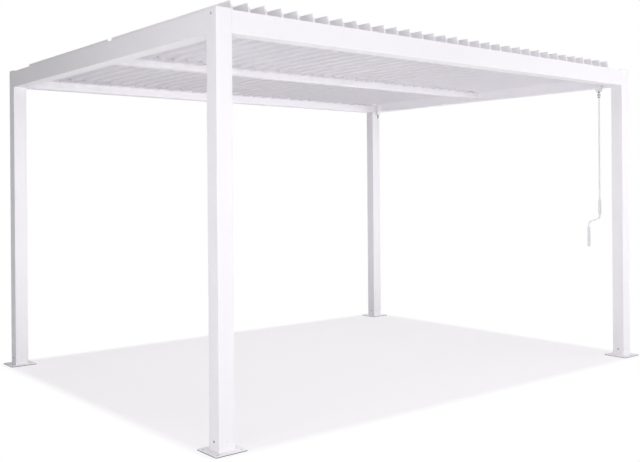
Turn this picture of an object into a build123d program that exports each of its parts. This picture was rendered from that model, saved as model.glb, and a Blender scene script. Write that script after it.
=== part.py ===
from build123d import *
import os
from math import cos, radians, sin, sqrt

# A white louvred-roof pergola, in millimetres: X along the long side, Y along the
# short side, Z up, origin on the ground under the middle of the roof.

# Overall sizes, over the outer faces of the posts
length = 4000.0
width = 3200.0
post_top = 2388.0
cap_rise = 6.0

# Posts: square tubes that run from the foot plates to the caps
post_size = 100.0
post_wall = 2.2
post_corner_radius = 2.0

# Foot plates: a square plate with a sleeve that the post slides over
plate_margin = 50.0
plate_thickness = 6.0
plate_corner_cut = 4.0
plate_bevel = 2.0
sleeve_height = 110.0
sleeve_wall = 3.0
sleeve_clearance = 0.3
anchor_radius = 6.0
anchor_inset = 24.0

# Caps that close the posts
cap_skirt = 20.0
cap_skirt_wall = 2.0
cap_clearance = 0.3
cap_corner_cut = 1.5
cap_bevel = 2.5

# Roof frame: box beams with a gutter profile on their inner side
beam_height = 127.0
beam_below_post = 3.0
beam_box_width = 42.0
beam_wall = 2.2
gutter_height = 66.0
gutter_floor_rise = 29.0
gutter_wall = 2.0
lip_return = 5.0
shadow_groove_height = 2.0
shadow_groove_depth = 1.0
beam_joint_gap = 0.3

# Middle beam: a gutter between two low walls, with a spine that carries the blades
middle_width = 94.0
middle_rise = 28.0
middle_wall_height = 38.0
middle_floor_rise = 16.0
middle_wall = 2.0
spine_width = 28.0
spine_below_beam_top = 4.0

# Louvre blades: the long side of a blade swings up when the roof opens
blade_count = 33
pivot_below_beam_top = 12.0
blade_above_pivot = 5.0
blade_short_side = 43.0
lap_overlap = 11.5
blade_thickness = 15.0
blade_skin = 1.6
blade_flank = 13.5
blade_end_inset = 72.0
middle_gap = 64.0
lap_thickness = 4.0
tongue_thickness = 2.5
tongue_lip = 3.0
open_angle = 96.0
closed_gap = 5.0

# Pivots: a pin at each blade end turns in an open slot of a bearing strip
pin_radius = 4.0
pin_clearance = 0.05
pin_end_gap = 1.0
end_cap_thickness = 4.0
pin_sides = 6
strip_thickness = 6.0
strip_height = 24.0
strip_below_pivot = 14.0

# Link bar that ties the blades together, on a lever at the front end of each blade
lever_reach = 38.0
lever_width = 14.0
lever_tip_width = 10.0
lever_overrun = 6.0
lever_angle = 42.0
lever_thickness = 4.0
link_pin_radius = 3.0
link_pin_length = 7.0
link_pin_clearance = 0.5
link_bar_height = 16.0
link_bar_thickness = 4.0
link_bar_gap = 1.5
link_bar_overrun = 12.0

# Operators: a gearbox for each bay on the inner side of the right beam
operator_width = 36.0
operator_depth = 44.0
operator_drop = 40.0
operator_seat_gap = 0.2
operator_below_blades = 6.0
operator_edge = 4.0
worm_radius = 6.0
worm_clearance = 0.05
worm_engagement = 18.0
worm_end_gap = 1.0
worm_collar_drop = 8.0
eye_width = 16.0
eye_thickness = 8.0
eye_drop = 34.0
eye_hole_radius = 4.0
eye_pin_clearance = 0.1

# Crank: a rod that hangs from the front eye, bent into an arm and a handle
rod_radius = 7.0
fork_gap = 0.3
fork_wall = 4.0
fork_base = 8.0
fork_height = 29.0
crank_bend_height = 1150.0
crank_arm_reach = 90.0
crank_arm_drop = 37.0
crank_bend_radius = 24.0
crank_direction = 123.2
handle_bottom = 906.0
handle_grip_length = 165.0
grip_radius = 12.5
grip_clearance = 0.1
guide_grip_bottom = 1180.0
guide_grip_length = 122.0

# Values that follow from the sizes above
half_length = length / 2
half_width = width / 2
beam_top = post_top - beam_below_post
beam_bottom = beam_top - beam_height
inner_x = half_length - post_size
inner_y = half_width - post_size
gutter_width = post_size - beam_box_width
plate_size = post_size + 2 * plate_margin
sleeve_size = post_size - 2 * post_wall - 2 * sleeve_clearance
skirt_size = post_size - 2 * post_wall - 2 * cap_clearance
anchor_spacing = plate_size - 2 * anchor_inset
pivot_z = beam_top - pivot_below_beam_top
blade_pitch = (2 * inner_x - lap_overlap - 2 * closed_gap) / blade_count
blade_long_side = blade_pitch + lap_overlap - blade_short_side
shoulder = lap_overlap + closed_gap
first_blade_x = -inner_x + closed_gap + blade_short_side
bay_start = middle_gap / 2
bay_end = half_width - blade_end_inset
pin_end_y = half_width - beam_box_width - pin_end_gap
middle_pin_y = spine_width / 2 + pin_end_gap
strip_bottom = pivot_z - strip_below_pivot
slot_rise = strip_below_pivot - pin_radius - pin_clearance
middle_bottom = beam_bottom + middle_rise
blade_bottom = blade_above_pivot - blade_thickness
blade_reach_down = sqrt(blade_short_side**2 + blade_bottom**2)
operator_top = pivot_z - blade_reach_down - operator_below_blades
operator_bottom = beam_bottom - operator_drop
operator_x = inner_x - operator_seat_gap - operator_width / 2
crank_sweep = crank_arm_reach + grip_radius + closed_gap
operator_y = inner_y - sqrt(crank_sweep**2 - (inner_x - operator_x) ** 2)
eye_bottom = operator_bottom - eye_drop
eye_hole_z = eye_bottom + eye_width / 2
fork_bottom = eye_bottom - fork_gap - fork_base
arm_x = crank_arm_reach * cos(radians(crank_direction))
arm_y = crank_arm_reach * sin(radians(crank_direction))
link_bar_back = -bay_end - lever_thickness - link_bar_gap
link_tip = (
    lever_reach * cos(radians(lever_angle)),
    -lever_reach * sin(radians(lever_angle)),
)


def blade_x(index):
    """X of the pivot axis of a blade, counted from the left."""
    return first_blade_x + index * blade_pitch


def beam_plane(x, y, inward):
    """Plane across a roof beam, its X axis pointing in over the gutter."""
    along = Vector(*inward).cross(Vector(0, 0, 1))
    return Plane(origin=(x, y, beam_bottom), x_dir=inward, z_dir=along)


def upright_plane(y, z):
    """Plane along the roof, its X axis to the right and its Y axis up."""
    return Plane(origin=(0, y, z), x_dir=(1, 0, 0), z_dir=(0, -1, 0))


def eye_plane(y):
    """Plane across the hole of an operator eye, facing along the crank's arm."""
    facing = (cos(radians(crank_direction)), sin(radians(crank_direction)), 0)
    return Plane(origin=(operator_x, y, eye_hole_z), x_dir=(0, 0, 1), z_dir=facing)


def blade_plane(y):
    """Plane across an open blade at y: X toward its short side, Y out of its top face."""
    toward_short_side = (-cos(radians(open_angle)), 0, -sin(radians(open_angle)))
    return Plane(origin=(0, y, pivot_z), x_dir=toward_short_side, z_dir=(0, 1, 0))


def post():
    """A square tube with rounded corners."""
    inner_size = post_size - 2 * post_wall
    with BuildPart() as tube:
        with BuildSketch(Plane.XY.offset(plate_thickness)):
            RectangleRounded(post_size, post_size, post_corner_radius)
            Rectangle(inner_size, inner_size, mode=Mode.SUBTRACT)
        extrude(amount=post_top - plate_thickness)
    return tube.part


def foot_plate():
    """A bevelled square plate with four anchor holes and a sleeve for the post."""
    inner_size = sleeve_size - 2 * sleeve_wall
    with BuildPart() as foot:
        with BuildSketch():
            plate = Rectangle(plate_size, plate_size)
            chamfer(plate.vertices(), length=plate_corner_cut)
        extrude(amount=plate_thickness)
        chamfer(foot.faces().sort_by(Axis.Z)[-1].edges(), length=plate_bevel)
        with GridLocations(anchor_spacing, anchor_spacing, 2, 2):
            Hole(radius=anchor_radius)
        with BuildSketch(Plane.XY.offset(plate_thickness)):
            Rectangle(sleeve_size, sleeve_size)
            Rectangle(inner_size, inner_size, mode=Mode.SUBTRACT)
        extrude(amount=sleeve_height)
    return foot.part


def post_cap():
    """A lid with a skirt that fits inside the tube."""
    inner_size = skirt_size - 2 * cap_skirt_wall
    with BuildPart() as cap:
        with BuildSketch(Plane.XY.offset(post_top)):
            lid = Rectangle(post_size, post_size)
            chamfer(lid.vertices(), length=cap_corner_cut)
        extrude(amount=cap_rise)
        chamfer(cap.faces().sort_by(Axis.Z)[-1].edges(), length=cap_bevel)
        with BuildSketch(Plane.XY.offset(post_top)):
            Rectangle(skirt_size, skirt_size)
            Rectangle(inner_size, inner_size, mode=Mode.SUBTRACT)
        extrude(amount=-cap_skirt)
    return cap.part


def roof_beam(plane, span):
    """A box beam, flush with the outer faces of the posts it runs between."""
    with BuildPart() as beam:
        with BuildSketch(plane):
            with Locations((beam_box_width / 2, beam_height / 2)):
                Rectangle(beam_box_width, beam_height)
                Rectangle(
                    beam_box_width - 2 * beam_wall,
                    beam_height - 2 * beam_wall,
                    mode=Mode.SUBTRACT,
                )
        extrude(amount=span / 2 - beam_joint_gap, both=True)
    return beam.part


def gutter(plane, span):
    """A gutter on the inner side of a beam: closed chamber, trough and lipped wall."""
    groove_bottom = gutter_floor_rise - shadow_groove_height
    groove_back = post_size - shadow_groove_depth
    lip_start = post_size - gutter_wall - lip_return
    lip_bottom = gutter_height - gutter_wall
    with BuildPart() as trough:
        with BuildSketch(plane):
            with BuildLine():
                Polyline(
                    (beam_box_width, 0),
                    (post_size, 0),
                    (post_size, groove_bottom),
                    (groove_back, groove_bottom),
                    (groove_back, gutter_floor_rise),
                    (post_size, gutter_floor_rise),
                    (post_size, gutter_height),
                    (lip_start, gutter_height),
                    (lip_start, lip_bottom),
                    (post_size - gutter_wall, lip_bottom),
                    (post_size - gutter_wall, gutter_floor_rise),
                    (beam_box_width, gutter_floor_rise),
                    close=True,
                )
            make_face()
            with Locations(((beam_box_width + groove_back) / 2, gutter_floor_rise / 2)):
                Rectangle(
                    gutter_width - shadow_groove_depth - 2 * gutter_wall,
                    gutter_floor_rise - 2 * gutter_wall,
                    mode=Mode.SUBTRACT,
                )
        extrude(amount=span / 2 - beam_joint_gap, both=True)
    return trough.part


def middle_beam():
    """The beam between the two bays: two gutters with a hollow spine between them."""
    trough = (middle_width - spine_width) / 2 - middle_wall
    trough_y = (spine_width + trough) / 2
    floor_z = middle_bottom + middle_floor_rise
    chamber_z = middle_bottom + middle_wall
    spine_height = beam_top - spine_below_beam_top - middle_bottom
    from_bottom = (Align.CENTER, Align.MIN)
    with BuildPart() as beam:
        with BuildSketch(Plane.YZ):
            with Locations((0, middle_bottom)):
                Rectangle(middle_width, middle_wall_height, align=from_bottom)
                Rectangle(spine_width, spine_height, align=from_bottom)
            with Locations((-trough_y, floor_z), (trough_y, floor_z)):
                Rectangle(trough, middle_wall_height, align=from_bottom, mode=Mode.SUBTRACT)
            with Locations((-trough_y, chamber_z), (trough_y, chamber_z)):
                Rectangle(
                    trough - 2 * shadow_groove_depth,
                    middle_floor_rise - 2 * middle_wall,
                    align=from_bottom,
                    mode=Mode.SUBTRACT,
                )
            with Locations((-middle_width / 2, floor_z), (middle_width / 2, floor_z)):
                Rectangle(2 * shadow_groove_depth, shadow_groove_height, mode=Mode.SUBTRACT)
            with Locations((0, chamber_z)):
                Rectangle(
                    spine_width - 2 * middle_wall,
                    spine_height - 2 * middle_wall,
                    align=from_bottom,
                    mode=Mode.SUBTRACT,
                )
        extrude(amount=inner_x - beam_joint_gap, both=True)
    return beam.part


def bearing_strip(plane):
    """A strip with one open-topped slot for each blade, on the plane of its back."""
    with BuildPart() as strip:
        with BuildSketch(plane):
            Rectangle(
                2 * (inner_x - beam_joint_gap), strip_height, align=(Align.CENTER, Align.MIN)
            )
            with Locations([(blade_x(index), slot_rise) for index in range(blade_count)]):
                Rectangle(
                    2 * (pin_radius + pin_clearance),
                    strip_height,
                    align=(Align.CENTER, Align.MIN),
                    mode=Mode.SUBTRACT,
                )
        extrude(amount=strip_thickness)
    return strip.part


def blade_outline():
    """Points of a blade's section, from the lap on its long side round to the tongue."""
    body_end = blade_short_side - shoulder
    lap_end = shoulder - blade_long_side
    lap_bottom = blade_above_pivot - lap_thickness
    tongue_top = blade_bottom + tongue_thickness
    lip_start = blade_short_side - tongue_thickness
    return [
        (-blade_long_side, blade_above_pivot),
        (body_end - blade_flank, blade_above_pivot),
        (body_end, tongue_top),
        (lip_start, tongue_top),
        (lip_start, tongue_top + tongue_lip),
        (blade_short_side, tongue_top + tongue_lip),
        (blade_short_side, blade_bottom),
        (lap_end + blade_flank, blade_bottom),
        (lap_end, lap_bottom),
        (-blade_long_side, lap_bottom),
    ]


def blade_hollow():
    """Points of the hollow inside a blade's section, a skin in from its faces."""
    top = blade_above_pivot - blade_skin
    bottom = blade_bottom + blade_skin
    left = shoulder - blade_long_side + 2 * blade_skin
    right = blade_short_side - shoulder - blade_flank - 2 * blade_skin
    run = blade_flank - blade_skin
    return [(left, top), (right, top), (right + run, bottom), (left + run, bottom)]


def blade(front, rear, front_pin, rear_pin):
    """A hollow blade from front to rear in its open pose, with a pin at each end."""
    span = rear - front
    with BuildPart() as louvre:
        with BuildSketch(blade_plane(front)):
            Polygon(*blade_outline(), align=None)
        extrude(amount=span)
        with BuildSketch(blade_plane(front + end_cap_thickness)):
            Polygon(*blade_hollow(), align=None)
        extrude(amount=span - 2 * end_cap_thickness, mode=Mode.SUBTRACT)
        with BuildSketch(blade_plane(front_pin)):
            RegularPolygon(pin_radius, pin_sides)
        extrude(amount=front - front_pin)
        with BuildSketch(blade_plane(rear)):
            RegularPolygon(pin_radius, pin_sides)
        extrude(amount=rear_pin - rear)
    return louvre.part


def lever():
    """The lever on the front end of a blade, with the pin for the link bar."""
    along = Vector(*link_tip).normalized()
    across = Vector(-along.Y, along.X)
    corners = [
        along * reach + across * side
        for reach, side in (
            (-lever_overrun, -lever_width / 2),
            (-lever_overrun, lever_width / 2),
            (lever_reach + lever_overrun, lever_tip_width / 2),
            (lever_reach + lever_overrun, -lever_tip_width / 2),
        )
    ]
    with BuildPart() as arm:
        with BuildSketch(blade_plane(-bay_end)):
            Polygon(*[(corner.X, corner.Y) for corner in corners], align=None)
        extrude(amount=-lever_thickness)
        with BuildSketch(blade_plane(-bay_end - lever_thickness)):
            with Locations(link_tip):
                RegularPolygon(link_pin_radius, pin_sides)
        extrude(amount=-link_pin_length)
    return arm.part


def louvre():
    """One row of the roof: a blade in each bay on one pivot axis, at x = 0."""
    with BuildPart() as row:
        add(blade(-bay_end, -bay_start, -pin_end_y, -middle_pin_y))
        add(lever())
        add(blade(bay_start, bay_end, middle_pin_y, pin_end_y))
    return row.part


def link_bar():
    """The bar that ties all the levers, with a notch for each link pin."""
    tip = blade_plane(link_bar_back).from_local_coords(Vector(*link_tip, 0))
    first_x = blade_x(0) + tip.X
    last_x = blade_x(blade_count - 1) + tip.X
    notch = 2 * (link_pin_radius + link_pin_clearance)
    with BuildPart() as bar:
        with BuildSketch(upright_plane(link_bar_back, tip.Z)):
            with Locations(((first_x + last_x) / 2, 0)):
                Rectangle(last_x - first_x + 2 * link_bar_overrun, link_bar_height)
            with Locations([(blade_x(index) + tip.X, 0) for index in range(blade_count)]):
                Rectangle(notch, notch, mode=Mode.SUBTRACT)
        extrude(amount=link_bar_thickness)
    return bar.part


def operator(y):
    """A closed gearbox on the inner side of the right beam, bored for its eye."""
    with BuildPart() as gearbox:
        with BuildSketch(Plane.XY.offset(operator_bottom)):
            with Locations((operator_x, y)):
                Rectangle(operator_width, operator_depth)
        extrude(amount=operator_top - operator_bottom)
        chamfer(gearbox.edges().filter_by(Axis.Z), length=operator_edge)
        with BuildSketch(Plane.XY.offset(operator_bottom)):
            with Locations((operator_x, y)):
                Circle(worm_radius + worm_clearance)
        extrude(amount=worm_engagement, mode=Mode.SUBTRACT)
    return gearbox.part


def operator_eye(y):
    """The end of a worm shaft below its gearbox: a collar, then a flat with a hole."""
    with BuildPart() as eye:
        with BuildSketch(Plane.XY.offset(operator_bottom - worm_collar_drop)):
            with Locations((operator_x, y)):
                Circle(worm_radius)
        extrude(amount=worm_collar_drop + worm_engagement - worm_end_gap)
        with BuildSketch(Plane.XY.offset(eye_bottom)):
            with Locations(Location((operator_x, y), crank_direction)):
                Rectangle(eye_thickness, eye_width)
        extrude(amount=eye_drop - worm_collar_drop)
        with BuildSketch(eye_plane(y)):
            Circle(eye_hole_radius)
        extrude(amount=eye_thickness, both=True, mode=Mode.SUBTRACT)
    return eye.part


def crank_rod(y):
    """The crank: a fork and pin on the eye, a straight rod, an arm and a handle."""
    slot_width = eye_thickness + 2 * fork_gap
    fork_length = slot_width + 2 * fork_wall
    route_points = [
        (operator_x, y, fork_bottom),
        (operator_x, y, crank_bend_height),
        (operator_x + arm_x, y + arm_y, crank_bend_height - crank_arm_drop),
        (operator_x + arm_x, y + arm_y, handle_bottom),
    ]
    with BuildPart() as crank:
        with BuildLine():
            FilletPolyline(*route_points, radius=crank_bend_radius)
        with BuildSketch(Plane(origin=route_points[0], z_dir=(0, 0, -1))):
            Circle(rod_radius)
        sweep()
        with BuildSketch(Plane.XY.offset(fork_bottom)):
            with Locations(Location((operator_x, y), crank_direction)):
                Rectangle(fork_length, eye_width)
        extrude(amount=fork_height)
        with BuildSketch(Plane.XY.offset(fork_bottom + fork_base)):
            with Locations(Location((operator_x, y), crank_direction)):
                Rectangle(slot_width, eye_width)
        extrude(amount=fork_height, mode=Mode.SUBTRACT)
        with BuildSketch(eye_plane(y)):
            Circle(eye_hole_radius - eye_pin_clearance)
        extrude(amount=fork_length / 2, both=True)
    return crank.part


def crank_grips(y):
    """The two sleeves on the crank: one guides the rod, one is the handle."""
    with BuildPart() as grips:
        with BuildSketch(Plane.XY.offset(guide_grip_bottom)):
            with Locations((operator_x, y)):
                Circle(grip_radius)
                Circle(rod_radius + grip_clearance, mode=Mode.SUBTRACT)
        extrude(amount=guide_grip_length)
        with BuildSketch(Plane.XY.offset(handle_bottom)):
            with Locations((operator_x + arm_x, y + arm_y)):
                Circle(grip_radius)
                Circle(rod_radius + grip_clearance, mode=Mode.SUBTRACT)
        extrude(amount=handle_grip_length)
    return grips.part


def save(part, name):
    """Label a piece and write it to its own file."""
    part.label = name
    export_step(part, f"parts/{name}.step")


os.makedirs("parts", exist_ok=True)

tube = post()
for end, x in (("left", -1), ("right", 1)):
    for side, y in (("front", -1), ("rear", 1)):
        place = Location((x * (half_length - post_size / 2), y * (half_width - post_size / 2), 0))
        save(tube.moved(place), f"{side}_{end}_post")

for name, piece in (("foot_plates", foot_plate()), ("post_caps", post_cap())):
    with BuildPart() as corner_pieces:
        with GridLocations(length - post_size, width - post_size, 2, 2):
            add(piece)
    save(corner_pieces.part, name)

frame_sides = {
    "front": (beam_plane(0, -half_width, (0, 1, 0)), 2 * inner_x),
    "rear": (beam_plane(0, half_width, (0, -1, 0)), 2 * inner_x),
    "left": (beam_plane(-half_length, 0, (1, 0, 0)), 2 * inner_y),
    "right": (beam_plane(half_length, 0, (-1, 0, 0)), 2 * inner_y),
}
for side, (plane, span) in frame_sides.items():
    save(roof_beam(plane, span), f"{side}_beam")
    save(gutter(plane, span), f"{side}_gutter")
save(middle_beam(), "middle_beam")

with BuildPart() as bearing_strips:
    for back_y in (-half_width + beam_box_width + strip_thickness, -spine_width / 2):
        add(bearing_strip(upright_plane(back_y, strip_bottom)))
        add(bearing_strip(upright_plane(strip_thickness - back_y, strip_bottom)))
save(bearing_strips.part, "bearing_strips")

row = louvre()
for index in range(blade_count):
    save(row.moved(Location((blade_x(index), 0, 0))), f"louvre_{index + 1:02d}")
save(link_bar(), "link_bar")

save(operator(-operator_y), "front_operator")
save(operator(operator_y), "rear_operator")
save(operator_eye(-operator_y), "front_operator_eye")
save(operator_eye(operator_y), "rear_operator_eye")
save(crank_rod(-operator_y), "crank_rod")
save(crank_grips(-operator_y), "crank_grips")
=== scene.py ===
"""Looks of a white louvred-roof pergola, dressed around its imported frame, in metres."""

import logging
from collections.abc import Callable, Iterable
from dataclasses import dataclass
from enum import Enum
from itertools import pairwise, product
from math import cos, pi, radians, sin

import bmesh
import bpy
from mathutils import Matrix, Vector


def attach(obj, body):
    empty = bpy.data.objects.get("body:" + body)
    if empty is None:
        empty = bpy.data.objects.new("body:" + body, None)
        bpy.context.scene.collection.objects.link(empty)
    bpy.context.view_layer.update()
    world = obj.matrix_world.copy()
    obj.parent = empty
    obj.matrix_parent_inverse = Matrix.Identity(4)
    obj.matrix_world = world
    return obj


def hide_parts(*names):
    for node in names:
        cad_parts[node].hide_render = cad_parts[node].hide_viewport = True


LOG = logging.getLogger("pergola")
PHOTO_SIZE = (640, 462)
MM = 0.001
WHITE = "#FFFFFF"
UP = Vector((0, 0, 1))
# Cosines: above the first a face or an edge points along an axis, and only above the second
# is a face told from the bevel beside it.
ALONG = 0.9
EXACTLY_ALONG = 0.99
MERGE_DISTANCE = 1e-6
SMOOTH_ANGLE = radians(35)
# Sockets of a Mix node that mixes colours: its share, its two colours and its outcome.
MIX_SHARE, MIX_A, MIX_B, MIXED = 0, 6, 7, 2
# The rear worm shaft. The front one, which the crank hangs on, is at -SHAFT_Y.
SHAFT_X = 1.8818
SHAFT_Y = 1.39405

# The rims of a round piece, each with its height and its radius in millimetres.
Rims = tuple[tuple[float, float], ...]

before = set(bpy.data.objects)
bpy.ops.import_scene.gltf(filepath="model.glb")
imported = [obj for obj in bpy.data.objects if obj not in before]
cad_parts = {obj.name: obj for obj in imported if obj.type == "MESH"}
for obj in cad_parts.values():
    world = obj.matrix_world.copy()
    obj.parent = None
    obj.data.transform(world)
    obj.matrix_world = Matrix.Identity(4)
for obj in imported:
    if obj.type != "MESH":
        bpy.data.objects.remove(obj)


class Side(Enum):
    """The four sides of a square post, each with its outward turn about Z."""

    RIGHT = 0.0
    REAR = pi / 2
    LEFT = pi
    FRONT = -pi / 2


def linear_colour(code: str) -> tuple[float, float, float, float]:
    """Turns an sRGB hex colour into the linear colour that Blender's sockets hold.

    Args:
        code: The colour as "#RRGGBB".

    Returns:
        Linear red, green and blue, with full alpha.
    """
    channels = [int(code[start : start + 2], 16) / 255 for start in (1, 3, 5)]
    red, green, blue = (
        value / 12.92 if value <= 0.04045 else ((value + 0.055) / 1.055) ** 2.4
        for value in channels
    )
    return red, green, blue, 1.0


def add_node(
    tree: bpy.types.NodeTree,
    kind: str,
    settings: dict[str | int, object] | None = None,
    links: dict[str | int, bpy.types.NodeSocket] | None = None,
) -> bpy.types.Node:
    """Adds a shader node with its settings and its incoming links.

    Args:
        tree: The node tree that gets the node.
        kind: Blender's type name for the node.
        settings: Values for the node's own options, or for its input sockets.
        links: Output sockets of other nodes, by the name or number of the input they feed.

    Returns:
        The new node.
    """
    node = tree.nodes.new(kind)
    for name, value in (settings or {}).items():
        if isinstance(name, str) and hasattr(node, name):
            setattr(node, name, value)
        else:
            node.inputs[name].default_value = value
    for name, socket in (links or {}).items():
        tree.links.new(socket, node.inputs[name])
    return node


def new_material(name: str) -> tuple[bpy.types.Material, bpy.types.NodeTree]:
    """Makes an empty material.

    Args:
        name: The finish's name.

    Returns:
        The material and its node tree.
    """
    material = bpy.data.materials.new(name)
    material.use_nodes = True
    material.node_tree.nodes.clear()
    return material, material.node_tree


def seen_directly(tree: bpy.types.NodeTree) -> bpy.types.NodeSocket:
    """Tells the rays that show a surface from those that only carry its light.

    Args:
        tree: The node tree that asks.

    Returns:
        A socket that is 1 for rays from the camera, off a gloss or through glass, and else 0.
    """
    path = add_node(tree, "ShaderNodeLightPath")
    seen = path.outputs["Is Camera Ray"]
    for kind in ("Is Glossy Ray", "Is Transmission Ray"):
        seen = add_node(
            tree, "ShaderNodeMath", {"operation": "MAXIMUM"}, {0: seen, 1: path.outputs[kind]}
        ).outputs["Value"]
    return seen


def finish_surface(
    tree: bpy.types.NodeTree,
    settings: dict[str | int, object],
    links: dict[str | int, bpy.types.NodeSocket],
) -> None:
    """Closes a material with a Principled shader.

    Args:
        tree: The material's node tree.
        settings: Values for the shader's sockets.
        links: Sockets that vary over the surface, by the shader input they feed.
    """
    shader = add_node(tree, "ShaderNodeBsdfPrincipled", settings, links)
    add_node(tree, "ShaderNodeOutputMaterial", links={"Surface": shader.outputs["BSDF"]})


@dataclass(frozen=True)
class PowderCoat:
    """Polyester powder, sprayed on aluminium and baked: a soft, even, satin skin."""

    name: str
    light: str = "#F4F1F6"
    shade: str = "#EEEBF0"
    # Real orange peel is 2 to 4 mm from crest to crest; it is drawn coarser to show at all.
    peel_mm: float = 11.0
    peel_height_mm: float = 0.05
    peel_strength: float = 0.5
    drift_mm: float = 900.0
    patches_per_metre: float = 14.0
    patch_span: tuple[float, float] = (0.3, 0.7)
    roughness: tuple[float, float] = (0.40, 0.52)
    gloss: float = 0.4
    seed_shift: float = 0.0
    # Height above the floor of a painted shadow: a dark band along the lowest edge of the coated
    # metal, standing in for the shade where it meets the floor.
    painted_shadow_mm: float = 0.0
    painted_shadow_colour: str = "#242427"

    def material(self) -> bpy.types.Material:
        """Builds the coat: slow drift of tone, patchy sheen, orange peel and, where asked, a
        painted shadow along its bottom edge.

        Returns:
            The material.
        """
        material, tree = new_material(self.name)
        place = add_node(tree, "ShaderNodeTexCoord").outputs["Object"]
        moved = add_node(
            tree, "ShaderNodeMapping", {"Location": (self.seed_shift,) * 3}, {"Vector": place}
        ).outputs["Vector"]
        drift = add_node(
            tree,
            "ShaderNodeTexNoise",
            {"Scale": 1 / (self.drift_mm * MM), "Detail": 2.0},
            {"Vector": moved},
        )
        tone = add_node(
            tree,
            "ShaderNodeMix",
            {
                "data_type": "RGBA",
                MIX_A: linear_colour(self.shade),
                MIX_B: linear_colour(self.light),
            },
            {MIX_SHARE: drift.outputs["Fac"]},
        ).outputs[MIXED]
        # Painted shadow: below this height the tone turns dark, for the shade line at the foot of
        # the plate.
        if self.painted_shadow_mm:
            height = add_node(tree, "ShaderNodeSeparateXYZ", links={"Vector": place}).outputs["Z"]
            painted_shadow_band = add_node(
                tree,
                "ShaderNodeMath",
                {"operation": "LESS_THAN", 1: self.painted_shadow_mm * MM},
                {0: height},
            ).outputs["Value"]
            tone = add_node(
                tree,
                "ShaderNodeMix",
                {"data_type": "RGBA", MIX_B: linear_colour(self.painted_shadow_colour)},
                {MIX_SHARE: painted_shadow_band, MIX_A: tone},
            ).outputs[MIXED]
        patches = add_node(
            tree,
            "ShaderNodeTexNoise",
            {"Scale": self.patches_per_metre, "Detail": 3.0},
            {"Vector": moved},
        )
        sheen = add_node(
            tree,
            "ShaderNodeMapRange",
            {
                "From Min": self.patch_span[0],
                "From Max": self.patch_span[1],
                "To Min": self.roughness[0],
                "To Max": self.roughness[1],
            },
            {"Value": patches.outputs["Fac"]},
        )
        peel = add_node(
            tree,
            "ShaderNodeTexNoise",
            {"Scale": 1 / (self.peel_mm * MM), "Detail": 1.0, "Roughness": 0.4},
            {"Vector": moved},
        )
        bump = add_node(
            tree,
            "ShaderNodeBump",
            {"Strength": self.peel_strength, "Distance": self.peel_height_mm * MM},
            {"Height": peel.outputs["Fac"]},
        )
        finish_surface(
            tree,
            {"IOR": 1.5, "Specular IOR Level": self.gloss},
            {
                "Base Color": tone,
                "Roughness": sheen.outputs["Result"],
                "Normal": bump.outputs["Normal"],
            },
        )
        return material


@dataclass(frozen=True)
class MouldedPlastic:
    """Plastic from a spark-eroded mould: dull, with a fine even grain and faint flow marks."""

    name: str
    light: str = "#EFECF1"
    shade: str = "#E6E3E8"
    # The mould's grain is about 0.3 mm; it is drawn at 2 mm so that a near view shows it.
    grain_mm: float = 2.0
    grain_height_mm: float = 0.04
    grain_strength: float = 0.6
    flow_mm: float = 35.0
    flow_stretch: float = 0.35
    roughness: float = 0.55

    def material(self) -> bpy.types.Material:
        """Builds the plastic: stretched flow marks in the tone and a grained bump.

        Returns:
            The material.
        """
        material, tree = new_material(self.name)
        place = add_node(tree, "ShaderNodeTexCoord").outputs["Object"]
        stretched = add_node(
            tree, "ShaderNodeMapping", {"Scale": (1.0, 1.0, self.flow_stretch)}, {"Vector": place}
        ).outputs["Vector"]
        flow = add_node(
            tree,
            "ShaderNodeTexNoise",
            {"Scale": 1 / (self.flow_mm * MM), "Detail": 2.0, "Distortion": 0.6},
            {"Vector": stretched},
        )
        tone = add_node(
            tree,
            "ShaderNodeMix",
            {
                "data_type": "RGBA",
                MIX_A: linear_colour(self.shade),
                MIX_B: linear_colour(self.light),
            },
            {MIX_SHARE: flow.outputs["Fac"]},
        ).outputs[MIXED]
        grain = add_node(
            tree, "ShaderNodeTexNoise", {"Scale": 1 / (self.grain_mm * MM)}, {"Vector": place}
        )
        bump = add_node(
            tree,
            "ShaderNodeBump",
            {"Strength": self.grain_strength, "Distance": self.grain_height_mm * MM},
            {"Height": grain.outputs["Fac"]},
        )
        finish_surface(
            tree,
            {"IOR": 1.46, "Roughness": self.roughness},
            {"Base Color": tone, "Normal": bump.outputs["Normal"]},
        )
        return material


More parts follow.
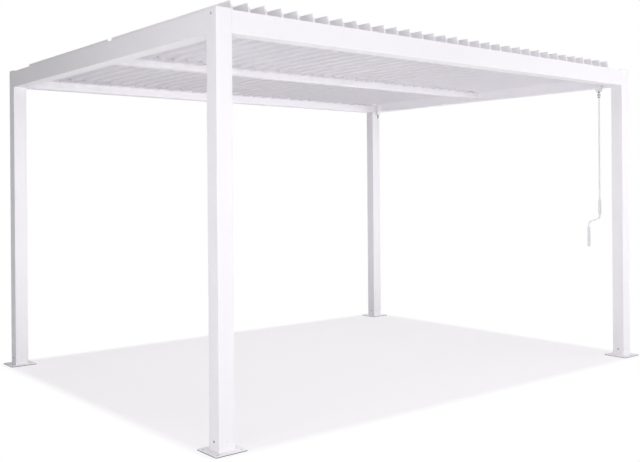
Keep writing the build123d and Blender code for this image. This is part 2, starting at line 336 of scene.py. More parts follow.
@dataclass(frozen=True)
class DrawnAluminium:
    """Aluminium flat, pulled through a die: fine lines along its length, a dull shine."""

    name: str
    light: str = "#D9DBDC"
    shade: str = "#BFC2C4"
    # Die lines are about 0.2 mm apart; they are drawn 1.5 mm apart so that they show.
    line_mm: float = 1.5
    line_height_mm: float = 0.05
    line_strength: float = 0.3
    line_shrink: float = 0.01
    roughness: tuple[float, float] = (0.32, 0.48)

    def material(self) -> bpy.types.Material:
        """Builds the metal: die lines in tone, sheen and bump, all along X.

        Returns:
            The material.
        """
        material, tree = new_material(self.name)
        place = add_node(tree, "ShaderNodeTexCoord").outputs["Object"]
        drawn = add_node(
            tree, "ShaderNodeMapping", {"Scale": (self.line_shrink, 1.0, 1.0)}, {"Vector": place}
        ).outputs["Vector"]
        lines = add_node(
            tree,
            "ShaderNodeTexNoise",
            {"Scale": 1 / (self.line_mm * MM), "Detail": 2.0},
            {"Vector": drawn},
        )
        tone = add_node(
            tree,
            "ShaderNodeMix",
            {
                "data_type": "RGBA",
                MIX_A: linear_colour(self.shade),
                MIX_B: linear_colour(self.light),
            },
            {MIX_SHARE: lines.outputs["Fac"]},
        ).outputs[MIXED]
        sheen = add_node(
            tree,
            "ShaderNodeMapRange",
            {"To Min": self.roughness[0], "To Max": self.roughness[1]},
            {"Value": lines.outputs["Fac"]},
        )
        bump = add_node(
            tree,
            "ShaderNodeBump",
            {"Strength": self.line_strength, "Distance": self.line_height_mm * MM},
            {"Height": lines.outputs["Fac"]},
        )
        finish_surface(
            tree,
            {"Metallic": 1.0},
            {
                "Base Color": tone,
                "Roughness": sheen.outputs["Result"],
                "Normal": bump.outputs["Normal"],
            },
        )
        return material


@dataclass(frozen=True)
class ZincPlatedSteel:
    """Steel with a bright zinc plate: grey and cool, with small cloudy crystal patches."""

    name: str
    light: str = "#C6CACE"
    shade: str = "#9CA1A6"
    crystal_mm: float = 3.0
    roughness: tuple[float, float] = (0.28, 0.46)

    def material(self) -> bpy.types.Material:
        """Builds the plate: crystal patches that differ in tone and in sheen.

        Returns:
            The material.
        """
        material, tree = new_material(self.name)
        place = add_node(tree, "ShaderNodeTexCoord").outputs["Object"]
        crystals = add_node(
            tree,
            "ShaderNodeTexVoronoi",
            {"Scale": 1 / (self.crystal_mm * MM)},
            {"Vector": place},
        )
        value = add_node(
            tree, "ShaderNodeSeparateColor", links={"Color": crystals.outputs["Color"]}
        ).outputs["Red"]
        tone = add_node(
            tree,
            "ShaderNodeMix",
            {
                "data_type": "RGBA",
                MIX_A: linear_colour(self.shade),
                MIX_B: linear_colour(self.light),
            },
            {MIX_SHARE: value},
        ).outputs[MIXED]
        sheen = add_node(
            tree,
            "ShaderNodeMapRange",
            {"To Min": self.roughness[0], "To Max": self.roughness[1]},
            {"Value": value},
        )
        finish_surface(
            tree,
            {"Metallic": 1.0},
            {"Base Color": tone, "Roughness": sheen.outputs["Result"]},
        )
        return material


@dataclass(frozen=True)
class StudioFloor:
    """Seamless white paper: it takes the shadow under the roof and is pure white around it.

    The shadow ends at the outline of the foot plates, as in the photograph.
    """

    name: str = "white_studio_paper"
    colour: str = "#EDEEEE"
    # Painted shadow tint: a faint lilac in the white that is shown inside the foot plates' outline.
    painted_shadow_tint: str = "#FFFBFF"
    shadow_share: float = 0.30
    footprint: tuple[float, float] = (2.0, 1.6)
    fade: float = 0.12

    def material(self) -> bpy.types.Material:
        """Builds the paper, which shows itself as white and still holds the shadow.

        Returns:
            The material.
        """
        material, tree = new_material(self.name)
        paper = add_node(tree, "ShaderNodeBsdfDiffuse", {"Color": linear_colour(self.colour)})
        place = add_node(tree, "ShaderNodeTexCoord").outputs["Object"]
        # Painted shadow edge: outside the foot plates' outline the paper shows pure white, so the
        # shade under the roof ends at that outline; inside, part of what shows is the paper's real
        # shade.
        beyond = place
        for step, amount in (("ABSOLUTE", None), ("SUBTRACT", self.footprint), ("MAXIMUM", (0, 0))):
            settings: dict[str | int, object] = {"operation": step}
            if amount is not None:
                settings[1] = (*amount, 0)
            beyond = add_node(tree, "ShaderNodeVectorMath", settings, {0: beyond}).outputs["Vector"]
        distance = add_node(
            tree, "ShaderNodeVectorMath", {"operation": "LENGTH"}, {0: beyond}
        ).outputs["Value"]
        outside = add_node(
            tree,
            "ShaderNodeMapRange",
            {"interpolation_type": "SMOOTHSTEP", "From Max": self.fade},
            {"Value": distance},
        ).outputs["Result"]
        whiteness = add_node(
            tree, "ShaderNodeMapRange", {"To Min": 1.0 - self.shadow_share}, {"Value": outside}
        ).outputs["Result"]
        shown = add_node(
            tree,
            "ShaderNodeMix",
            {
                "data_type": "RGBA",
                MIX_A: linear_colour(self.painted_shadow_tint),
                MIX_B: linear_colour(WHITE),
            },
            {MIX_SHARE: outside},
        ).outputs[MIXED]
        white = add_node(tree, "ShaderNodeEmission", links={"Color": shown})
        share = add_node(
            tree,
            "ShaderNodeMath",
            {"operation": "MULTIPLY"},
            {0: seen_directly(tree), 1: whiteness},
        ).outputs["Value"]
        mixed = add_node(
            tree,
            "ShaderNodeMixShader",
            links={0: share, 1: paper.outputs["BSDF"], 2: white.outputs["Emission"]},
        )
        add_node(tree, "ShaderNodeOutputMaterial", links={"Surface": mixed.outputs["Shader"]})
        return material


@dataclass(frozen=True)
class Finishes:
    """Every finish on the pergola."""

    frame_coat: bpy.types.Material
    gutter_coat: bpy.types.Material
    plate_coat: bpy.types.Material
    blade_coat: bpy.types.Material
    casting_paint: bpy.types.Material
    crank_coat: bpy.types.Material
    cap_plastic: bpy.types.Material
    end_cap_plastic: bpy.types.Material
    grip_plastic: bpy.types.Material
    nylon: bpy.types.Material
    plug_plastic: bpy.types.Material
    bar_metal: bpy.types.Material
    eye_steel: bpy.types.Material
    screw_steel: bpy.types.Material


def make_finishes() -> Finishes:
    """Makes every finish once, each from its colours and its scale.

    Returns:
        The pergola's finishes.
    """
    recipes = {
        "frame_coat": PowderCoat("powder_coat_frame"),
        "gutter_coat": PowderCoat("powder_coat_gutters", seed_shift=3.1),
        # The foot plates get a painted shadow band, 3.6 mm tall, along their bottom edge.
        "plate_coat": PowderCoat(
            "powder_coat_foot_plates", "#F2EFF4", "#EAE8EC", seed_shift=5.7, painted_shadow_mm=3.6
        ),
        "blade_coat": PowderCoat("powder_coat_blades", seed_shift=8.3),
        "casting_paint": PowderCoat(
            "painted_gearbox_casting",
            "#EEEBF0",
            "#E5E2E7",
            peel_mm=5.0,
            peel_height_mm=0.12,
            drift_mm=60.0,
        ),
        "crank_coat": PowderCoat("powder_coat_crank", "#F4F1F6", "#ECE9EE", peel_mm=6.0),
        "cap_plastic": MouldedPlastic("moulded_white_plastic"),
        "end_cap_plastic": MouldedPlastic(
            "moulded_end_cap_plastic", "#F1EEF3", "#E9E6EB", roughness=0.6
        ),
        "grip_plastic": MouldedPlastic(
            "moulded_grip_plastic", "#ECE9EE", "#E2DFE4", roughness=0.48
        ),
        "nylon": MouldedPlastic("moulded_grey_nylon", "#C9CBCD", "#BCBFC1", roughness=0.42),
        "plug_plastic": MouldedPlastic(
            "moulded_dark_plug_plastic", "#7A7D80", "#6A6D70", roughness=0.5
        ),
        "bar_metal": DrawnAluminium("drawn_aluminium"),
        "eye_steel": ZincPlatedSteel("plated_eye_steel", "#8B8D92", "#5F6167"),
        "screw_steel": ZincPlatedSteel(
            "plated_screw_steel", "#A4A8AC", "#7E8388", crystal_mm=2.0
        ),
    }
    return Finishes(**{name: recipe.material() for name, recipe in recipes.items()})


def dress(material: bpy.types.Material, *nodes: str) -> None:
    """Puts a finish on frame nodes.

    Args:
        material: The finish.
        nodes: Names of the nodes.
    """
    for name in nodes:
        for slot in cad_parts[name].material_slots:
            slot.material = material
    LOG.info("%s on %d nodes", material.name, len(nodes))


def start_piece(name: str) -> bpy.types.Object:
    """Names the primitive that was just added and opens it in edit mode, all of it selected.

    Args:
        name: The piece's name.

    Returns:
        The new object.
    """
    piece = bpy.context.active_object
    piece.name = name
    piece.data.name = name
    bpy.ops.object.transform_apply(location=True, rotation=True, scale=True)
    bpy.ops.object.mode_set(mode="EDIT")
    bpy.ops.mesh.select_mode(type="FACE")
    bpy.ops.mesh.select_all(action="SELECT")
    return piece


def pick_faces(piece: bpy.types.Object, direction: Vector, least: float = ALONG) -> None:
    """Selects the faces that point one way, and only those.

    Args:
        piece: The object, in edit mode.
        direction: The way that they point, as a unit vector.
        least: The cosine to that way which a face has to be above.
    """
    bpy.ops.mesh.select_mode(type="FACE")
    bpy.ops.mesh.select_all(action="DESELECT")
    mesh = bmesh.from_edit_mesh(piece.data)
    for face in mesh.faces:
        if face.normal.dot(direction) > least:
            face.select_set(True)
    bmesh.update_edit_mesh(piece.data)


def runs_along_x(edge: bmesh.types.BMEdge) -> bool:
    """Tells whether an edge runs along X.

    Args:
        edge: An edge of the edit mesh.

    Returns:
        True where it does, either way round.
    """
    start, end = (vert.co for vert in edge.verts)
    return abs((end - start).normalized().x) > ALONG


def pick_edges(piece: bpy.types.Object, wanted: Callable[[bmesh.types.BMEdge], bool]) -> None:
    """Selects the edges that pass a test, and only those.

    Args:
        piece: The object, in edit mode.
        wanted: The test, on an edge of the edit mesh.
    """
    bpy.ops.mesh.select_mode(type="EDGE")
    bpy.ops.mesh.select_all(action="DESELECT")
    mesh = bmesh.from_edit_mesh(piece.data)
    for edge in mesh.edges:
        if wanted(edge):
            edge.select_set(True)
    bmesh.update_edit_mesh(piece.data)


def end_piece(piece: bpy.types.Object, place: Matrix | None = None) -> bpy.types.Object:
    """Leaves edit mode with faces pointing out and smooth rounds, and moves the mesh.

    Args:
        piece: The object, in edit mode.
        place: Where the mesh goes, from where it was modelled.

    Returns:
        The same object.
    """
    bpy.ops.mesh.select_all(action="SELECT")
    bpy.ops.mesh.remove_doubles(threshold=MERGE_DISTANCE)
    bpy.ops.mesh.normals_make_consistent(inside=False)
    bpy.ops.object.mode_set(mode="OBJECT")
    bpy.ops.object.shade_smooth_by_angle(angle=SMOOTH_ANGLE)
    if place is not None:
        piece.data.transform(place)
    return piece


def turned(
    name: str,
    rims: Iterable[tuple[float, float]],
    sides: int = 24,
    hollow: bool = False,
    place: Matrix | None = None,
) -> bpy.types.Object:
    """Models a round piece: a disc, extruded upwards from rim to rim and scaled at each.

    Args:
        name: The piece's name.
        rims: Height and radius of each rim, from the first to the last, in millimetres.
        sides: How many sides the round has.
        hollow: Whether the rims go round a ring's section and close on the first.
        place: Where the mesh goes, its own axis being Z.

    Returns:
        The finished object.
    """
    rims = [(height * MM, radius * MM) for height, radius in rims]
    bpy.ops.object.select_all(action="DESELECT")
    bpy.ops.mesh.primitive_circle_add(
        vertices=sides,
        radius=rims[0][1],
        fill_type="NOTHING" if hollow else "NGON",
        location=(0, 0, rims[0][0]),
    )
    piece = start_piece(name)
    if hollow:
        bpy.ops.mesh.select_mode(type="EDGE")
        bpy.ops.mesh.select_all(action="SELECT")
        rims.append(rims[0])
    for (low, before), (high, after) in pairwise(rims):
        bpy.ops.mesh.extrude_region_move(TRANSFORM_OT_translate={"value": (0, 0, high - low)})
        bpy.ops.transform.resize(
            value=(after / before, after / before, 1), center_override=(0, 0, high)
        )
    return end_piece(piece, place)


def copied(piece: bpy.types.Object, name: str, place: Matrix) -> bpy.types.Object:
    """Copies a piece, with its own mesh, to another place.

    Args:
        piece: The piece that is copied.
        name: The copy's name.
        place: Where the copy's mesh goes, from the piece's mesh.

    Returns:
        The copy.
    """
    twin = piece.copy()
    twin.data = piece.data.copy()
    twin.name = name
    twin.data.name = name
    twin.data.transform(place)
    bpy.context.collection.objects.link(twin)
    return twin


def joined(name: str, pieces: list[bpy.types.Object]) -> bpy.types.Object:
    """Joins pieces into one object.

    Args:
        name: The joined object's name.
        pieces: The pieces, which are used up.

    Returns:
        The joined object.
    """
    bpy.ops.object.select_all(action="DESELECT")
    for piece in pieces:
        piece.select_set(True)
    bpy.context.view_layer.objects.active = pieces[0]
    bpy.ops.object.join()
    pieces[0].name = name
    pieces[0].data.name = name
    return pieces[0]


def discard(piece: bpy.types.Object) -> None:
    """Removes a pattern piece once its copies are made.

    Args:
        piece: The pattern.
    """
    bpy.data.objects.remove(piece, do_unlink=True)


def fit(piece: bpy.types.Object, material: bpy.types.Material, body: str) -> None:
    """Gives a piece its finish, its body and its material slot, and reports it.

    Args:
        piece: The finished piece.
        material: Its finish.
        body: The body that it moves with.
    """
    piece.data.materials.clear()
    piece.data.materials.append(material)
    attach(piece, body)
    LOG.info("%s rides on %s: %d faces", piece.name, body, len(piece.data.polygons))


def facing(side: Side, at: Vector) -> Matrix:
    """Turns a piece modelled along +Z to point out of one side of a post.

    Args:
        side: The side that it points out of.
        at: Where its base goes.

    Returns:
        The turn and the move together.
    """
    tip_over = Matrix.Rotation(pi / 2, 4, "Y")
    return Matrix.Translation(at) @ Matrix.Rotation(side.value, 4, "Z") @ tip_over


@dataclass(frozen=True)
class Screw:
    """A button-head screw with a round socket, pointing up +Z from its seat."""

    head_radius: float = 6.5 * MM
    head_height: float = 3.0 * MM
    socket_radius: float = 2.6 * MM
    socket_depth: float = 1.8 * MM
    sides: int = 18
    # Share of the head's height that is rounded.
    dome: float = 0.6

    def model(self, name: str) -> bpy.types.Object:
        """Models the head: a stub, its rim bevelled round, its top inset and sunk.

        Args:
            name: The screw's name.

        Returns:
            The finished head.
        """
        rounding = self.head_height * self.dome
        bpy.ops.object.select_all(action="DESELECT")
        bpy.ops.mesh.primitive_cylinder_add(
            vertices=self.sides,
            radius=self.head_radius,
            depth=self.head_height,
            location=(0, 0, self.head_height / 2),
        )
        head = start_piece(name)
        pick_faces(head, UP)
        bpy.ops.mesh.bevel(offset=rounding, segments=3, affect="EDGES")
        pick_faces(head, UP, EXACTLY_ALONG)
        bpy.ops.mesh.inset(thickness=self.head_radius - rounding - self.socket_radius, depth=0)
        bpy.ops.mesh.extrude_region_move(
            TRANSFORM_OT_translate={"value": (0, 0, -self.socket_depth)}
        )
        return end_piece(head)


@dataclass
class Posts:
    """The four posts with their foot plates and caps, the fixings at their feet and the plugs."""

    centre: tuple[float, float] = (1.95, 1.55)
    half_size: float = 0.050
    foot_screw: Screw = Screw()
    foot_screw_height: float = 0.057
    screw_cap: Rims = ((0, 7.0), (1.0, 7.0), (2.0, 6.2), (2.6, 4.4), (2.8, 2.0))
    plug_height: float = 2.3625
    plug_half_width: float = 4.0 * MM
    plug_sides: int = 20
    plug_stretch: float = 1.9
    plug_rise: float = 1.2 * MM
    plug_rim: float = 1.2 * MM
    plug_sink: float = 0.4 * MM

    def build(self, finishes: Finishes) -> None:
        """Dresses the posts and adds the screws and plugs.

        Args:
            finishes: The pergola's finishes.
        """
        posts = [f"{side}_{end}_post" for side in ("front", "rear") for end in ("left", "right")]
        dress(finishes.frame_coat, *posts)
        dress(finishes.plate_coat, "foot_plates")
        dress(finishes.cap_plastic, "post_caps")
        self.add_foot_screws(finishes)
        self.add_plugs(finishes)

    def middles(self) -> list[Vector]:
        """Finds the middles of the four posts on the ground."""
        x, y = self.centre
        return [Vector((x * right, y * rear, 0)) for right, rear in product((-1, 1), repeat=2)]

    def seat(self, middle: Vector, side: Side, height: float) -> Matrix:
        """Finds the place of a fixing on a post.

        Args:
            middle: The post's middle on the ground.
            side: The side of the post that has the fixing.
            height: The fixing's height above the ground.

        Returns:
            The place, its Z pointing out of that side.
        """
        out = Vector((cos(side.value), sin(side.value), 0))
        return facing(side, middle + out * self.half_size + UP * height)

    def add_foot_screws(self, finishes: Finishes) -> None:
        """Adds the fixings near the foot of each side of each post.

        The screws of the left and right sides are bare; a white cap covers the others.

        Args:
            finishes: The pergola's finishes.
        """
        screw = self.foot_screw.model("screw_pattern")
        cap = turned("screw_cap_pattern", self.screw_cap)
        for name, pattern, sides, material, slot in (
            ("foot_screws", screw, (Side.LEFT, Side.RIGHT), finishes.screw_steel, "eye"),
            ("foot_screw_caps", cap, (Side.FRONT, Side.REAR), finishes.cap_plastic, "cap"),
        ):
            heads = [
                copied(pattern, "head", self.seat(middle, side, self.foot_screw_height))
                for middle, side in product(self.middles(), sides)
            ]
            discard(pattern)
            fit(joined(name, heads), material, "frame")

    def add_plugs(self, finishes: Finishes) -> None:
        """Adds the oval plug over the beam's fixing at the top of each front post.

        Args:
            finishes: The pergola's finishes.
        """
        bpy.ops.object.select_all(action="DESELECT")
        bpy.ops.mesh.primitive_cylinder_add(
            vertices=self.plug_sides,
            radius=self.plug_half_width,
            depth=self.plug_rise,
            location=(0, 0, self.plug_rise / 2),
        )
        pattern = start_piece("plug_pattern")
        bpy.ops.transform.resize(
            value=(self.plug_stretch, 1, 1), center_override=(0, 0, self.plug_rise / 2)
        )
        pick_faces(pattern, UP)
        bpy.ops.mesh.bevel(offset=self.plug_rise / 2, segments=2, affect="EDGES")
        pick_faces(pattern, UP, EXACTLY_ALONG)
        bpy.ops.mesh.inset(thickness=self.plug_rim, depth=-self.plug_sink)
        end_piece(pattern)
        plugs = []
        for middle in self.middles():
            if middle.y < 0:
                side = Side.LEFT if middle.x < 0 else Side.RIGHT
                plugs.append(copied(pattern, "plug", self.seat(middle, side, self.plug_height)))
        discard(pattern)
        fit(joined("fixing_plugs", plugs), finishes.plug_plastic, "frame")


@dataclass
class RoofFrame:
    """The beams, gutters and bearing strips, with the screws of the strips."""

    # The Y of each strip's free face, and the side that it faces.
    strip_faces: tuple[tuple[float, Side], ...] = (
        (-1.552, Side.REAR),
        (-0.020, Side.FRONT),
        (0.020, Side.REAR),
        (1.552, Side.FRONT),
    )
    strip_screw: Screw = Screw(3.2 * MM, 1.6 * MM, 1.3 * MM, 1.0 * MM)
    strip_screw_height: float = 2.3635
    strip_screw_start: float = -1.7948
    strip_screw_step: float = 0.458
    strip_screw_count: int = 9

    def build(self, finishes: Finishes) -> None:
        """Dresses the roof frame and adds the small screws.

        Args:
            finishes: The pergola's finishes.
        """
        sides = ("front", "rear", "left", "right")
        dress(finishes.frame_coat, "middle_beam", *[f"{side}_beam" for side in sides])
        dress(finishes.gutter_coat, *[f"{side}_gutter" for side in sides])
        dress(finishes.nylon, "bearing_strips")
        self.add_strip_screws(finishes)

    def add_strip_screws(self, finishes: Finishes) -> None:
        """Adds the screws that hold each bearing strip, between the blades.

        Args:
            finishes: The pergola's finishes.
        """
        pattern = self.strip_screw.model("strip_screw_pattern")
        heads = []
        for (face_y, side), number in product(self.strip_faces, range(self.strip_screw_count)):
            x = self.strip_screw_start + number * self.strip_screw_step
            seat = Vector((x, face_y, self.strip_screw_height))
            heads.append(copied(pattern, "head", facing(side, seat)))
        discard(pattern)
        fit(joined("strip_screws", heads), finishes.screw_steel, "frame")


@dataclass
class Louvres:
    """The rows of blades, with the moulded end caps and the pin sleeves of each blade."""

    count: int = 33
    first_x: float = -1.852
    pitch: float = 0.1145
    pivot_z: float = 2.373
    open_angle: float = 96.0
    # The Y of each end of the front blade and of the rear blade, and which way it faces.
    ends: tuple[tuple[float, float], ...] = ((-1.528, -1), (-0.032, 1), (0.032, -1), (1.528, 1))
    cap_thickness: float = 1.6 * MM
    cap_bevel: float = 0.6 * MM
    cap_rim: float = 1.8 * MM
    cap_step: float = 0.3 * MM
    cap_sink: float = 0.7 * MM
    cap_low: float = -8.6 * MM
    cap_high: float = 3.8 * MM
    cap_left: float = -62.5 * MM
    cap_right: float = 12.0 * MM
    cap_slant: float = 12.0 * MM
    sleeve: Rims = ((0, 7.5), (1.2, 7.5), (2.4, 6.0), (8.2, 6.0), (9.0, 5.2))
    sleeve_sides: int = 16

    def build(self, finishes: Finishes) -> None:
        """Dresses the blades and the link bar, and adds the fittings of every row.

        Args:
            finishes: The pergola's finishes.
        """
        names = [f"louvre_{index + 1:02d}" for index in range(self.count)]
        dress(finishes.blade_coat, *names)
        dress(finishes.bar_metal, "link_bar")
        pattern = self.model_row_fittings()
        for index, body in enumerate(names):
            shift = Matrix.Translation((index * self.pitch, 0, 0))
            piece = copied(pattern, f"end_caps_{index + 1:02d}", shift)
            fit(piece, finishes.end_cap_plastic, body)
        discard(pattern)

    def blade_place(self, y: float, outward: float) -> Matrix:
        """Place on the first blade's end: X toward its short side, Y out of its top face.

        Args:
            y: Where the end is.
            outward: 1 where the end faces the rear, -1 where it faces the front.

        Returns:
            The place, its Z pointing out of the end.
        """
        turn = radians(self.open_angle)
        short_side = Vector((-cos(turn), 0, -sin(turn)))
        top = Vector((0, 1, 0)).cross(short_side)
        out = Vector((0, outward, 0))
        place = Matrix((short_side, top, out)).transposed().to_4x4()
        place.translation = Vector((self.first_x, y, self.pivot_z))
        return place

    def model_row_fittings(self) -> bpy.types.Object:
        """Models the four end caps and pin sleeves of the first row.

        Returns:
            The joined fittings.
        """
        cap = self.model_cap()
        sleeve = turned("sleeve_pattern", self.sleeve, self.sleeve_sides)
        fittings = []
        for y, outward in self.ends:
            place = self.blade_place(y, outward)
            for pattern in (cap, sleeve):
                fitting = copied(pattern, "fitting", place)
                if place.is_negative:
                    fitting.data.flip_normals()
                fittings.append(fitting)
        discard(cap)
        discard(sleeve)
        return joined("row_fittings_pattern", fittings)

    def model_cap(self) -> bpy.types.Object:
        """Models an end cap: a slanted plate, its rim bevelled and its face sunk.

        Returns:
            The cap, its seat on Z 0 and its face toward +Z.
        """
        low = Vector((self.cap_left, self.cap_low, 0))
        high = Vector((self.cap_right, self.cap_high, self.cap_thickness))
        bpy.ops.object.select_all(action="DESELECT")
        bpy.ops.mesh.primitive_cube_add(size=1, location=(low + high) / 2, scale=high - low)
        cap = start_piece("cap_pattern")
        pick_faces(cap, Vector((0, -1, 0)))
        bpy.ops.transform.translate(value=(self.cap_slant, 0, 0))
        pick_faces(cap, UP)
        bpy.ops.mesh.bevel(offset=self.cap_bevel, segments=1, affect="EDGES")
        pick_faces(cap, UP, EXACTLY_ALONG)
        bpy.ops.mesh.inset(thickness=self.cap_rim, depth=0)
        bpy.ops.mesh.inset(thickness=self.cap_step, depth=-self.cap_sink)
        return end_piece(cap)


@dataclass
class Drive:
    """The two gearboxes and their eyes, with lids, screws and bushes."""

    box_bottom: float = 2.218
    box_top: float = 2.323
    half_width: float = 0.018
    half_depth: float = 0.022
    lid_margin: float = 3.0 * MM
    lid_thickness: float = 1.6 * MM
    lid_corner: float = 3.5 * MM
    lid_edge: float = 0.5 * MM
    lid_rim: float = 1.6 * MM
    lid_step: float = 0.6 * MM
    lid_screw: Screw = Screw(2.6 * MM, 1.4 * MM, 1.1 * MM, 0.9 * MM)
    lid_screw_inset: float = 4.5 * MM
    bush: Rims = ((0, 7.0), (0, 12.0), (-3.3, 12.0), (-4.5, 10.8), (-4.5, 7.0))

    def build(self, finishes: Finishes) -> None:
        """Dresses the gearboxes and eyes and adds what is fixed to the boxes.

        Args:
            finishes: The pergola's finishes.
        """
        dress(finishes.casting_paint, "front_operator", "rear_operator")
        dress(finishes.eye_steel, "front_operator_eye", "rear_operator_eye")
        under_box = Matrix.Translation((SHAFT_X, 0, self.box_bottom))
        lid = self.model_lid()
        bush = turned("bush_pattern", self.bush, hollow=True, place=under_box)
        screw = self.lid_screw.model("lid_screw_pattern")
        for name, y in (("front", -SHAFT_Y), ("rear", SHAFT_Y)):
            shift = Matrix.Translation((0, y, 0))
            cover = copied(lid, f"{name}_gearbox_lid", shift)
            fit(cover, finishes.casting_paint, "frame")
            ring = copied(bush, f"{name}_gearbox_bush", shift)
            fit(ring, finishes.plug_plastic, "frame")
            heads = [
                copied(screw, "head", shift @ facing(Side.LEFT, seat))
                for seat in self.lid_screw_seats()
            ]
            fit(joined(f"{name}_gearbox_screws", heads), finishes.screw_steel, "frame")
        for pattern in (lid, bush, screw):
            discard(pattern)

    def lid_screw_seats(self) -> list[Vector]:
        """Finds the seats of the lid's four screws, for a box at y 0."""
        inset = self.lid_margin + self.lid_screw_inset
        x = SHAFT_X - self.half_width - self.lid_thickness
        reach = self.half_depth - inset
        heights = (self.box_bottom + inset, self.box_top - inset)
        return [Vector((x, y, z)) for y, z in product((-reach, reach), heights)]

    def model_lid(self) -> bpy.types.Object:
        """Models the lid on the box's inner face: a plate with round corners and a sunk field.

        Returns:
            The lid, for a box at y 0.
        """
        height = self.box_top - self.box_bottom - 2 * self.lid_margin
        depth = 2 * (self.half_depth - self.lid_margin)
        middle_z = (self.box_top + self.box_bottom) / 2
        outward = Vector((-1, 0, 0))
        bpy.ops.object.select_all(action="DESELECT")
        bpy.ops.mesh.primitive_cube_add(
            size=1,
            location=(SHAFT_X - self.half_width - self.lid_thickness / 2, 0, middle_z),
            scale=(self.lid_thickness, depth, height),
        )
        lid = start_piece("lid_pattern")
        pick_edges(lid, runs_along_x)
        bpy.ops.mesh.bevel(offset=self.lid_corner, segments=4, affect="EDGES")
        pick_faces(lid, outward)
        bpy.ops.mesh.bevel(offset=self.lid_edge, segments=1, affect="EDGES")
        pick_faces(lid, outward, EXACTLY_ALONG)
        bpy.ops.mesh.inset(thickness=self.lid_rim, depth=0)
        bpy.ops.mesh.inset(thickness=self.lid_step, depth=-self.lid_step)
        return end_piece(lid)


@dataclass
class Crank:
    """The crank rod with its moulded grips and the steel yoke of its fork."""

    axis: tuple[float, float] = (SHAFT_X, -SHAFT_Y)
    handle: tuple[float, float] = (1.8325, -1.31874)
    # Which way the arm points from the axis, in degrees about Z.
    direction: float = 123.2
    eye_height: float = 2.192
    fork_half_length: float = 8.3 * MM
    # Thickness, breadth and height of a cheek.
    cheek: tuple[float, float, float] = (2.6 * MM, 14.0 * MM, 35.0 * MM)
    cheek_top: float = 2.2035
    cheek_corner: float = 6.3 * MM
    cheek_edge: float = 0.4 * MM
    collar: Rims = ((0, 7.3), (0, 10.4), (7.0, 10.4), (7.0, 7.3))
    rivet: Rims = ((0, 5.8), (1.0, 5.8), (2.2, 4.6), (2.9, 2.4))
    # Lower and upper end of each grip.
    guide_span: tuple[float, float] = (1.180, 1.302)
    handle_span: tuple[float, float] = (0.906, 1.071)
    grip_sides: int = 32
    # Rims at a grip's lower end, at its upper end and round each of its grooves.
    grip_foot: Rims = ((0, 7.5), (0.8, 10.25), (2.6, 12.0), (5.0, 12.5), (9.0, 12.5))
    grip_head: Rims = ((-5.0, 12.5), (-2.6, 12.0), (-0.8, 10.5), (0, 8.25))
    groove: Rims = ((-1.0, 12.5), (-0.6, 11.875), (0.6, 11.875), (1.0, 12.5))
    # How far each groove is from the end beside it, in millimetres.
    groove_insets: tuple[float, ...] = (12.0, 17.0, 22.0)

    def build(self, finishes: Finishes) -> None:
        """Dresses the rod and adds the grips and the yoke.

        Args:
            finishes: The pergola's finishes.
        """
        dress(finishes.crank_coat, "crank_rod")
        dress(finishes.grip_plastic, "crank_grips")
        guide = self.model_grip("guide_grip", self.axis, self.guide_span)
        handle = self.model_grip("handle_grip", self.handle, self.handle_span)
        grips = joined("moulded_grips", [guide, handle])
        fit(grips, finishes.grip_plastic, "crank")
        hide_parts("crank_grips")
        self.add_yoke(finishes)

    def model_grip(
        self, name: str, middle: tuple[float, float], span: tuple[float, float]
    ) -> bpy.types.Object:
        """Models a grip: rounded ends, a plain sleeve and three shallow grooves at each end.

        Args:
            name: The grip's name.
            middle: X and Y of its axis.
            span: Its lower and its upper end.

        Returns:
            The finished grip.
        """
        low, high = span
        length = (high - low) / MM
        grooves = [*self.groove_insets, *(length - inset for inset in reversed(self.groove_insets))]
        rims = [
            *self.grip_foot,
            *((at + height, radius) for at in grooves for height, radius in self.groove),
            *((length + height, radius) for height, radius in self.grip_head),
        ]
        return turned(name, rims, self.grip_sides, place=Matrix.Translation((*middle, low)))

    def add_yoke(self, finishes: Finishes) -> None:
        """Adds the steel yoke of the fork: two cheeks, a collar on the rod and rivet heads.

        Args:
            finishes: The pergola's finishes.
        """
        thickness, _, height = self.cheek
        on_rod = Matrix.Translation((*self.axis, self.cheek_top - height))
        on_cheek = Vector((self.fork_half_length + thickness, 0, self.eye_height))
        cheek = self.model_cheek()
        rivet = turned("rivet_pattern", self.rivet, place=facing(Side.RIGHT, on_cheek))
        pieces = [turned("collar", self.collar, hollow=True, place=on_rod)]
        for turn in (radians(self.direction), radians(self.direction) + pi):
            place = Matrix.Translation((*self.axis, 0)) @ Matrix.Rotation(turn, 4, "Z")
            pieces += [copied(cheek, "cheek", place), copied(rivet, "rivet", place)]
        discard(cheek)
        discard(rivet)
        fit(joined("fork_yoke", pieces), finishes.eye_steel, "crank")

    def model_cheek(self) -> bpy.types.Object:
        """Models a cheek of the yoke: a flat bar with a round top, on the +X side of the axis.

        Returns:
            The cheek, its height as on the pergola.
        """
        thickness, _, height = self.cheek
        bpy.ops.object.select_all(action="DESELECT")
        bpy.ops.mesh.primitive_cube_add(
            size=1,
            location=(self.fork_half_length + thickness / 2, 0, self.cheek_top - height / 2),
            scale=self.cheek,
        )
        cheek = start_piece("cheek_pattern")
        pick_edges(
            cheek, lambda edge: runs_along_x(edge) and edge.verts[0].co.z > self.eye_height
        )
        bpy.ops.mesh.bevel(offset=self.cheek_corner, segments=5, affect="EDGES")
        pick_faces(cheek, Vector((1, 0, 0)))
        bpy.ops.mesh.bevel(offset=self.cheek_edge, segments=1, affect="EDGES")
        return end_piece(cheek)


@dataclass(frozen=True)
class Lamp:
    """A soft rectangular lamp that faces a point, with its power in watts."""

    name: str
    at: tuple[float, float, float]
    toward: tuple[float, float, float]
    size: tuple[float, float]
    watts: float
    # Whether it shows in glossy surfaces.
    glossy: bool = True


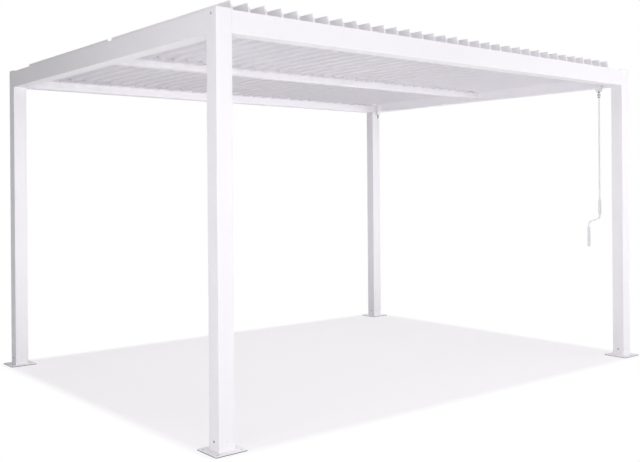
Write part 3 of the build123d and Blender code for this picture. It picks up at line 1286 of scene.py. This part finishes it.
@dataclass
class Studio:
    """The camera, the lamps, the world and the floor."""

    # The camera's place and aim, in metres and degrees, as fitted to the photograph.
    eye: tuple[float, float, float] = (-4.4016, -5.5225, 1.4102)
    yaw: float = 49.392
    roll: float = -0.435
    focal_px: float = 851.59
    centre_px: tuple[float, float] = (354.0, 189.0)
    sensor_mm: float = 36.0
    world_light: float = 0.16
    lamps: tuple[Lamp, ...] = (
        Lamp("front_lamp", (3.0, -8.0, 1.7), (2.0, 0.0, 1.5), (7.0, 3.2), 104.0),
        Lamp("right_lamp", (6.5, -6.5, 2.0), (1.0, -1.0, 1.5), (4.0, 3.0), 172.0),
        Lamp("camera_side_lamp", (-4.2, -7.0, 2.2), (0.0, 0.0, 1.3), (3.0, 3.0), 85.0),
        Lamp("left_lamp", (-6.0, -3.6, 1.5), (-2.0, -1.0, 1.5), (2.5, 2.2), 104.0),
        Lamp("rear_lamp", (7.0, 7.5, 3.0), (0.0, 0.0, 1.5), (5.0, 4.0), 120.0),
        Lamp("top_lamp", (0.0, -1.0, 7.0), (0.0, 0.0, 0.0), (6.0, 6.0), 306.0),
        Lamp("floor_reflector", (0.0, 0.0, 0.02), (0.0, 0.0, 2.0), (3.3, 2.3), 20.0, glossy=False),
    )
    floor_size: float = 80.0
    floor_drop: float = 0.5 * MM

    def build(self) -> None:
        """Sets up the studio."""
        bpy.context.scene.view_settings.view_transform = "Standard"
        self.add_camera()
        self.add_world()
        for lamp in self.lamps:
            self.add_lamp(lamp)
        self.add_floor()
        LOG.info("studio is set")

    def add_camera(self) -> None:
        """Adds the camera where the photograph was taken from."""
        width, height = PHOTO_SIZE
        camera_data = bpy.data.cameras.new("camera")
        camera_data.sensor_width = self.sensor_mm
        camera_data.lens = self.focal_px / width * self.sensor_mm
        camera_data.shift_x = (width / 2 - self.centre_px[0]) / width
        camera_data.shift_y = (self.centre_px[1] - height / 2) / width
        yaw, roll = radians(self.yaw), radians(self.roll)
        forward = Vector((cos(yaw), sin(yaw), 0))
        level = Vector((sin(yaw), -cos(yaw), 0))
        right = level * cos(roll) + UP * sin(roll)
        up = UP * cos(roll) - level * sin(roll)
        camera = bpy.data.objects.new("camera", camera_data)
        pose = Matrix((right, up, -forward)).transposed().to_4x4()
        pose.translation = Vector(self.eye)
        camera.matrix_world = pose
        bpy.context.collection.objects.link(camera)
        bpy.context.scene.camera = camera

    def add_world(self) -> None:
        """Lights the scene evenly and shows white behind it."""
        world = bpy.data.worlds.new("studio_white")
        bpy.context.scene.world = world
        world.use_nodes = True
        tree = world.node_tree
        tree.nodes.clear()
        strength = add_node(
            tree,
            "ShaderNodeMapRange",
            {"To Min": self.world_light},
            {"Value": seen_directly(tree)},
        ).outputs["Result"]
        sky = add_node(
            tree, "ShaderNodeBackground", {"Color": linear_colour(WHITE)}, {"Strength": strength}
        )
        add_node(tree, "ShaderNodeOutputWorld", links={"Surface": sky.outputs["Background"]})

    def add_lamp(self, lamp: Lamp) -> None:
        """Adds a lamp that lights the pergola and isn't itself in view.

        Args:
            lamp: What the lamp is and where it stands.
        """
        lamp_data = bpy.data.lights.new(lamp.name, "AREA")
        lamp_data.shape = "RECTANGLE"
        lamp_data.size, lamp_data.size_y = lamp.size
        lamp_data.energy = lamp.watts
        stand = bpy.data.objects.new(lamp.name, lamp_data)
        aim = (Vector(lamp.toward) - Vector(lamp.at)).to_track_quat("-Z", "Y")
        stand.matrix_world = Matrix.Translation(lamp.at) @ aim.to_matrix().to_4x4()
        stand.visible_camera = False
        stand.visible_glossy = lamp.glossy
        bpy.context.collection.objects.link(stand)

    def add_floor(self) -> None:
        """Adds the paper floor, just under the foot plates."""
        bpy.ops.object.select_all(action="DESELECT")
        bpy.ops.mesh.primitive_plane_add(size=self.floor_size, location=(0, 0, -self.floor_drop))
        floor = start_piece("studio_floor")
        end_piece(floor)
        floor.data.materials.append(StudioFloor().material())


def main() -> None:
    """Builds the studio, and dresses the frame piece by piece."""
    logging.basicConfig(level=logging.INFO, format="%(name)s: %(message)s")
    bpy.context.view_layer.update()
    Studio().build()
    finishes = make_finishes()
    for assembly in (Posts(), RoofFrame(), Louvres(), Drive(), Crank()):
        assembly.build(finishes)


if __name__ == "__main__":
    main()
